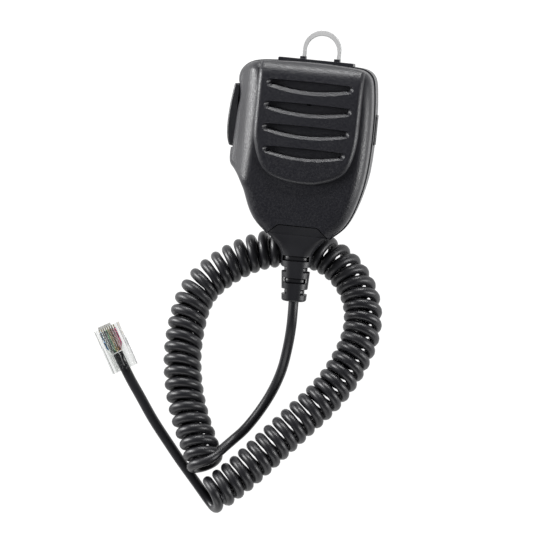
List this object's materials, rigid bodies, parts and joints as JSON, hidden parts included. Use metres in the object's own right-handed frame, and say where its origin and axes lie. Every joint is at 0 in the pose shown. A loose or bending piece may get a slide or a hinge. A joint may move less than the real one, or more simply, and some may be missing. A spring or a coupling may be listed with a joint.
{
  "type": "hand microphone",
  "caption": "Hand-held push-to-talk microphone with slotted grille, side talk bar, folding hanger loop, curly cord and modular plug.",
  "frame": {"origin": "on the flat back of the case, on the centre line of the grille and the cord outlet, at mid height of the case", "axes": "+X to the right seen from the front, +Y up the case towards the hanger loop, +Z out of the front; the case lies on its back"},
  "size_m": [0.1331, 0.2254, 0.036],
  "materials": {
    "case_black": "fine spark-eroded grain, satin",
    "ptt_black": "fine grain, satin",
    "relief_black": "smooth satin",
    "cord_black": "smooth satin jacket",
    "loop_grey": "matt light grey plated steel",
    "pin_steel": "bright drawn steel",
    "screw_black": "black zinc plating",
    "cap_black": "matt moulded rubber",
    "board_green": "solder resist",
    "component_dark": "moulded component bodies",
    "capsule_metal": "drawn can",
    "holder_rubber": "soft rubber",
    "screen_felt": "acoustic felt",
    "header_white": "nylon",
    "core_coloured": "coloured PVC cores",
    "switch_body": "moulded switch body",
    "switch_button": "acetal",
    "spring_steel": "spring wire",
    "plug_clear": "clear polycarbonate",
    "contact_gold": "gold flash"
  },
  "bodies": {
    "case": {"front_case": "case_black", "rear_case": "case_black", "strain_relief": "relief_black", "ptt_pivot_pin": "pin_steel", "ptt_switch_body": "switch_body", "side_cap": "cap_black", "circuit_board": "board_green", "board_parts": "component_dark", "mic_capsule": "capsule_metal", "mic_holder": "holder_rubber", "mic_screen": "screen_felt", "cord_header": "header_white", "cord_wires": "core_coloured", "cord_tail": "cord_black", "cable_clamp": "pin_steel", "clamp_screws": "screw_black", "case_screws": "screw_black", "board_screws": "screw_black", "cord_mic_lead": "cord_black", "cord_coil": "cord_black", "cord_plug_lead": "cord_black", "plug_housing": "plug_clear", "plug_contacts": "contact_gold", "plug_wires": "core_coloured"},
    "ptt": {"ptt_lever": "ptt_black", "ptt_spring": "spring_steel"},
    "plunger": {"ptt_switch_plunger": "switch_button"},
    "hanger": {"hanger_loop": "loop_grey", "hanger_pin": "pin_steel"},
    "latch": {"plug_latch": "plug_clear"}
  },
  "joints": [
    {"name": "ptt_press", "type": "hinge", "parent": "case", "child": "ptt", "pos_m": [-0.0304, 0.0232, 0.0145], "axis": [0, 0, 1], "range_deg": [0, 2.5], "stiffness_Nm_per_rad": 0.8, "springref_deg": -2.86},
    {"name": "plunger_slide", "type": "slide", "parent": "case", "child": "plunger", "axis": [1, 0, 0], "range_m": [0, 0.00085]},
    {"name": "hanger_swing", "type": "hinge", "parent": "case", "child": "hanger", "pos_m": [0, 0.0382, 0.002], "axis": [-1, 0, 0], "range_deg": [-3, 178]},
    {"name": "latch_flex", "type": "hinge", "parent": "case", "child": "latch", "pos_m": [-0.08562, -0.09456, 0.0069], "axis": [0.8686, 0.4955, 0], "range_deg": [0, 6], "stiffness_Nm_per_rad": 0.1, "springref_deg": -1.72}
  ],
  "couplings": [
    {"joint": "plunger_slide", "follows": "ptt_press", "m_per_rad": 0.0192}
  ]
}
